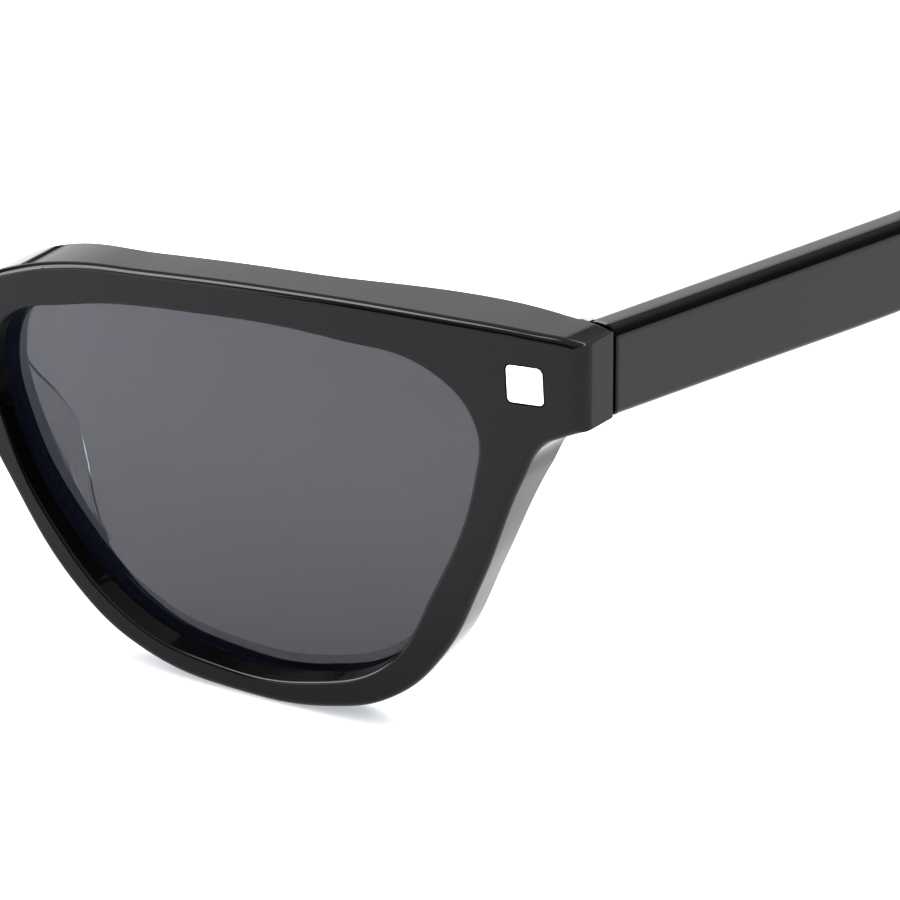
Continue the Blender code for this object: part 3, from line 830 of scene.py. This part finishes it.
@dataclass
class Temple:
    """A black acetate temple, swept from its butt end to its ear tip.

    Attributes:
        start: depth of the butt end behind the foremost point of the front.
        outer: X of the outer face at the butt end.
        splay: outward slope of the outer face.
        curl_from: where the temple starts to curl in.
        curl: strength of that curl, per metre.
        thick: thickness at the butt end and at the tip.
        crest: radius of the upper edges.
        keel: radius of the lower edges.
        arris: how far the edges of the butt end are eased.
        tip: length of the rounding of the ear tip.
        thins: where it starts to thin, and over what length.
        turns: where its sections start to stand square to it, and over what length.
        bore: radius of the bore of the core wire.
        bore_inset: how far the bore lies inside the middle of the temple.
        bore_heights: heights of the two ends of the bore's mouth.
    """

    start: float = 12.0 * MM
    outer: float = 71.4 * MM
    splay: float = 0.0175
    curl_from: float = 55.0 * MM
    curl: float = 0.95
    thick: tuple[float, float] = (3.7 * MM, 3.0 * MM)
    crest: float = 1.35 * MM
    keel: float = 0.75 * MM
    arris: float = 0.16 * MM
    tip: float = 3.9 * MM
    thins: tuple[float, float] = (60.0 * MM, 80.0 * MM)
    turns: tuple[float, float] = (20.0 * MM, 60.0 * MM)
    bore: float = 0.85 * MM
    bore_inset: float = 0.35 * MM
    bore_heights: tuple[float, float] = (38.75 * MM, 38.15 * MM)

    # depth, height of the middle and width of the side of the temple, in millimetres
    stations = ((12.0, 38.7, 9.0), (34.0, 36.05, 9.05), (58.0, 33.2, 9.1), (80.0, 31.1, 8.3),
                (97.0, 29.4, 7.4), (110.5, 27.1, 7.2), (123.0, 21.7, 7.6), (133.0, 13.3, 7.8),
                (140.0, 6.85, 7.8), (146.0, 1.1, 7.8))

    def section(self, width: float, thick: float) -> np.ndarray:
        """Return one rounded section: thickness and height from its middle."""
        points = []
        corners = ((1, 1, self.crest), (-1, 1, self.crest), (-1, -1, self.keel), (1, -1, self.keel))
        for sx, sz, radius in corners:
            radius = min(radius, thick * 0.48, width * 0.48)
            corner = np.array([sx * (thick / 2 - radius), sz * (width / 2 - radius)])
            for step in range(9):
                turn = math.radians(90 * step / 8)
                c, s = (math.cos(turn), math.sin(turn)) if sx * sz > 0 else (math.sin(turn), math.cos(turn))
                points.append(corner + radius * np.array([sx * c, sz * s]))
        return np.array(points)

    def rings(self) -> list[np.ndarray]:
        """Return the rings of the left temple."""
        rows = spline_rows(np.array(self.stations) * MM, 14)
        run = np.concatenate([[0], np.cumsum(np.hypot(*np.diff(rows[:, :2], axis=0).T))])
        length = run[-1]
        slope = np.gradient(rows[:, :2], axis=0)
        angle = np.arctan2(slope[:, 1], slope[:, 0])
        stops = [0.0, 0.05 * MM, 0.18 * MM] + list(run[(run > 1 * MM) & (run < length - 4.2 * MM)])
        stops += [length - self.tip + self.tip * math.sin(math.radians(a)) for a in range(0, 90, 6)]
        stops.append(length - 0.002 * MM)
        rings = []
        for at in stops:
            y, z, width = (np.interp(at, run, rows[:, i]) for i in range(3))
            lean = np.interp(at, run, angle) * min(1.0, max(0.0, (y - self.turns[0]) / self.turns[1]))
            far = ease((y - self.thins[0]) / self.thins[1])
            thick = self.thick[0] + (self.thick[1] - self.thick[0]) * far
            fade = math.sqrt(max(0.0, 1 - max(0.0, (at - length + self.tip) / self.tip) ** 2))
            shrink = self.arris - min(at, self.arris)
            profile = self.section(max(width * fade - 2 * shrink, 0.02 * MM),
                                   max(thick * (0.35 + 0.65 * fade) - 2 * shrink, 0.02 * MM))
            depth = y - profile[:, 1] * math.sin(lean)
            back = np.clip(depth - self.curl_from, 0, None)
            outer = self.outer + self.splay * (depth - self.start) - self.curl * back ** 2
            rings.append(np.stack([outer - thick / 2 + profile[:, 0], START_Y + depth,
                                   z + profile[:, 1] * math.cos(lean)], axis=1))
        return rings

    def build(self, paint: Paint, hinge: "Hinge") -> None:
        """Build both temples, with the seat of the hinge leaf and the end of the bore."""
        left = Bench.sweep("acetate_temple_left", self.rings())
        Bench.cut(left, hinge.leaf_seat())
        middle = self.outer - self.thick[0] / 2 - self.bore_inset
        butt = START_Y + self.start
        bore = Bench.rod("bore", self.bore, (middle, butt - 2 * MM, self.bore_heights[0]),
                         (middle, butt + 3 * MM, self.bore_heights[1]), 32)
        Bench.cut(left, bore)
        Bench.polish(left)
        right = Bench.mirror(left, "acetate_temple_right")
        for obj, side in ((left, Side.LEFT), (right, Side.RIGHT)):
            paint.dress(obj, BLACK_ACETATE)
            hand_in(obj, f"temple_{side.word}_body", f"temple_{side.word}")


# --------------------------------------------------------------------------------------
# Hinges
# --------------------------------------------------------------------------------------


@dataclass
class Hinge:
    """A five-knuckle hinge: a leaf on the front, a leaf in the temple and a slotted screw.

    Attributes:
        x: of the axis.
        y: of the axis, behind the foremost point.
        z: middle height of the knuckles.
        radius: of the knuckles.
        knuckle: height of one knuckle.
        gap: between two knuckles.
        shaft: radius of the screw.
        head: radius of the screw's head.
        face: X of the inner face of the temple.
        leaf_edge: radius of the edges of the leaves.
        slot: half the width of the screw's slot.
    """

    x: float = 65.9 * MM
    y: float = 15.0 * MM
    z: float = 37.6 * MM
    radius: float = 1.5 * MM
    knuckle: float = 1.07 * MM
    gap: float = 0.15 * MM
    shaft: float = 0.62 * MM
    head: float = 1.15 * MM
    face: float = 67.7 * MM
    leaf_edge: float = 0.09 * MM
    slot: float = 0.14 * MM

    # X and Y of the leaf on the front
    fixed_x = (61.0 * MM, 65.4 * MM)
    fixed_y = (11.0 * MM, 12.7 * MM)
    # reach of the leaf on the temple to either side of the temple's inner face, and its Y
    moving_x = (-0.5 * MM, 0.45 * MM)
    moving_y = (16.6 * MM, 24.0 * MM)

    def bottom(self, index: int) -> float:
        """Return the height of the underside of a knuckle, counted from the lowest."""
        pitch = self.knuckle + self.gap
        return self.z - (5 * self.knuckle + 4 * self.gap) / 2 + index * pitch

    def axis(self, height: float) -> tuple[float, float, float]:
        """Return the point of the axis at a height."""
        return (self.x, START_Y + self.y, height)

    def barrels(self, leaf: bpy.types.Object, which: Sequence[int], low: Sequence[float],
                high: Sequence[float]) -> None:
        """Join knuckles and their arms to a leaf and bore them for the screw.

        Args:
            leaf: the leaf's plate.
            which: the knuckles, counted from the lowest.
            low: nearest X and Y of each arm.
            high: farthest X and Y of each arm.
        """
        for index in which:
            z = self.bottom(index)
            barrel = Bench.rod("barrel", self.radius, self.axis(z), self.axis(z + self.knuckle))
            Bench.cut(leaf, barrel, "UNION")
            arm = Bench.block("arm", (low[0], START_Y + low[1], z),
                              (high[0], START_Y + high[1], z + self.knuckle))
            Bench.cut(leaf, arm, "UNION")
        ends = self.bottom(0) - 2 * MM, self.bottom(5) + 2 * MM
        Bench.cut(leaf, Bench.rod("bore", self.shaft + 0.06 * MM, self.axis(ends[0]), self.axis(ends[1]), 32))
        Bench.soften(leaf, self.leaf_edge, 2, 40.0)
        Bench.polish(leaf, 35.0)

    def leaf_seat(self) -> bpy.types.Object:
        """Return the tool that cuts the seat of the temple leaf."""
        return Bench.block("seat", (self.face - MM, START_Y + 13.2 * MM, self.bottom(0) - 0.2 * MM),
                           (self.face + 0.5 * MM, START_Y + 24.2 * MM, self.bottom(5) - 0.5 * MM))

    def build(self, paint: Paint) -> None:
        """Build the leaves and screws of both sides."""
        low, high = self.bottom(0), self.bottom(4) + self.knuckle
        (x0, x1), (y0, y1) = self.fixed_x, self.fixed_y
        fixed = Bench.block("nickel_leaf_front_left", (x0, START_Y + y0, low), (x1, START_Y + y1, high))
        self.barrels(fixed, (0, 2, 4), (64.42 * MM, 12.2 * MM), (x1, self.y))
        (x0, x1), (y0, y1) = self.moving_x, self.moving_y
        moving = Bench.block("nickel_leaf_temple_left", (self.face + x0, START_Y + y0, low),
                             (self.face + x1, START_Y + y1, high - 0.6 * MM))
        self.barrels(moving, (1, 3), (self.x, self.y + 0.35 * MM), (self.face + 0.1 * MM, 17.2 * MM))
        screw = self.screw(low, high)
        for left, node, slot, finish, moves in (
                (fixed, "hinge_front", "hinge_steel", NICKEL_SILVER, False),
                (moving, "hinge_temple", "hinge_steel", NICKEL_SILVER, True),
                (screw, "hinge_screw", "screw_steel", SCREW_STEEL, False)):
            right = Bench.mirror(left, left.name.replace("left", "right"))
            for obj, side in ((left, Side.LEFT), (right, Side.RIGHT)):
                paint.dress(obj, finish)
                body = f"temple_{side.word}_body" if moves else "front"
                hand_in(obj, body, f"{node}_{side.word}")

    def screw(self, low: float, high: float) -> bpy.types.Object:
        """Return the slotted screw between the ends of the knuckles."""
        screw = Bench.rod("steel_screw_left", self.shaft, self.axis(low - 0.15 * MM),
                          self.axis(high + 0.1 * MM))
        head = Bench.rod("head", self.head, self.axis(high + 0.05 * MM), self.axis(high + 0.6 * MM))
        Bench.soften(head, 0.16 * MM, 3, 40.0)
        Bench.cut(screw, head, "UNION")
        x, y, _ = self.axis(0)
        slot = Bench.block("slot", (x - 2 * MM, y - self.slot, high + 0.33 * MM),
                           (x + 2 * MM, y + self.slot, high + 2 * MM))
        Bench.cut(screw, slot)
        Bench.polish(screw, 35.0)
        return screw


# --------------------------------------------------------------------------------------
# Studio
# --------------------------------------------------------------------------------------


@dataclass
class Studio:
    """A pale table, soft light and the camera.

    Attributes:
        azimuth: of the camera round the glasses, in degrees from straight ahead.
        elevation: of the camera above the table, in degrees.
        distance: from the camera to the point that it looks at.
        focal: focal length, in millimetres on a 36 mm sensor.
        roll: of the camera, in degrees.
        aim: what the camera looks at: X, depth behind the foremost point, Z.
    """

    azimuth: float = 36.38
    elevation: float = 24.61
    distance: float = 1.2
    focal: float = 529.3
    roll: float = 0.14
    aim: tuple[float, float, float] = (61.3 * MM, 0.15 * MM, 32.5 * MM)

    # height on the sky, from the horizon at 0 to straight up at 1, and its brightness
    sky_stops = ((0.0, 0.2), (0.3, 0.22), (0.42, 0.4), (0.6, 1.0), (0.75, 1.25), (1.0, 1.3))

    def camera(self) -> None:
        """Set up the camera."""
        data = bpy.data.cameras.new("camera")
        data.lens = self.focal
        data.sensor_width = 36.0
        data.clip_start = 0.01
        obj = bpy.data.objects.new("camera", data)
        bpy.context.collection.objects.link(obj)
        a, e = math.radians(self.azimuth), math.radians(self.elevation)
        back = Vector((math.sin(a) * math.cos(e), -math.cos(a) * math.cos(e), math.sin(e)))
        aim = Vector(self.aim) + Vector((0, START_Y, 0))
        level = back.to_track_quat("Z", "Y").to_matrix().to_4x4()
        obj.matrix_world = (Matrix.Translation(aim + back * self.distance) @ level
                            @ Matrix.Rotation(math.radians(self.roll), 4, "Z"))
        bpy.context.scene.camera = obj

    def table(self, paint: Paint) -> None:
        """Lay the pale table."""
        bpy.ops.mesh.primitive_plane_add(size=6.0, location=(0, 0, 0))
        table = Bench.rename(bpy.context.object, "white_table")
        paint.dress(table, WHITE_TABLE)

    def softbox(self, name: str, place: Sequence[float], size: tuple[float, float], power: float,
                shadow: bool = True) -> None:
        """Hang a softbox that faces the glasses.

        Args:
            name: the light's name.
            place: its middle.
            size: its width and height.
            power: in watts.
            shadow: whether it casts a shadow.
        """
        data = bpy.data.lights.new(name, "AREA")
        data.shape = "RECTANGLE"
        data.size, data.size_y = size
        data.energy = power
        data.color = (0.96, 0.98, 1.0)
        data.use_shadow = shadow
        obj = bpy.data.objects.new(name, data)
        bpy.context.collection.objects.link(obj)
        place = Vector(place)
        obj.matrix_world = Matrix.Translation(place) @ place.to_track_quat("Z", "Y").to_matrix().to_4x4()
        obj.visible_camera = False

    def sky(self) -> None:
        """Surround the table with a dim horizon under a bright ceiling."""
        world = bpy.data.worlds.new("studio")
        bpy.context.scene.world = world
        world.use_nodes = True
        tree = world.node_tree
        place = tree.nodes.new("ShaderNodeTexCoord")
        split = tree.nodes.new("ShaderNodeSeparateXYZ")
        tree.links.new(place.outputs["Generated"], split.inputs["Vector"])
        ramp = tree.nodes.new("ShaderNodeValToRGB")
        elements = ramp.color_ramp.elements
        while len(elements) < len(self.sky_stops):
            elements.new(0.5)
        for element, (place_at, value) in zip(elements, self.sky_stops):
            element.position = place_at
            element.color = (value, value, value * 1.02, 1.0)
        tree.links.new(split.outputs["Z"], ramp.inputs["Fac"])
        background = tree.nodes["Background"]
        background.inputs["Strength"].default_value = 1.0
        tree.links.new(ramp.outputs["Color"], background.inputs["Color"])

    def build(self, paint: Paint) -> None:
        """Build the whole studio."""
        self.camera()
        self.table(paint)
        self.sky()
        self.softbox("front_left_softbox", (-0.58, -0.438, 0.53), (0.42, 1.05), 11.0, shadow=False)
        self.softbox("back_softbox", (0.15, 0.55, 0.85), (1.1, 0.6), 9.0)
        self.softbox("back_left_wall", (-0.78, 1.0, 0.36), (1.4, 0.7), 4.4)
        self.softbox("front_left_screen", (-0.44, -0.67, 0.17), (0.4, 0.34), 1.0)
        scene = bpy.context.scene
        scene.view_settings.view_transform = "Standard"
        scene.view_settings.gamma = 0.72


def main() -> None:
    """Build the sunglasses and their studio."""
    logging.basicConfig(level=logging.INFO, format="%(message)s")
    paint = Paint()
    studio = Studio()
    studio.build(paint)
    lens, shield, hinge = Lens(), Shield(), Hinge()
    Front().build(paint, lens, shield)
    lens.build(paint)
    shield.build(paint)
    NosePad().build(paint)
    Temple().build(paint, hinge)
    hinge.build(paint)
    for side in Side:
        paint.redress(f"temple_core_{side.word}", CORE_STEEL)


if __name__ == "__main__":
    main()
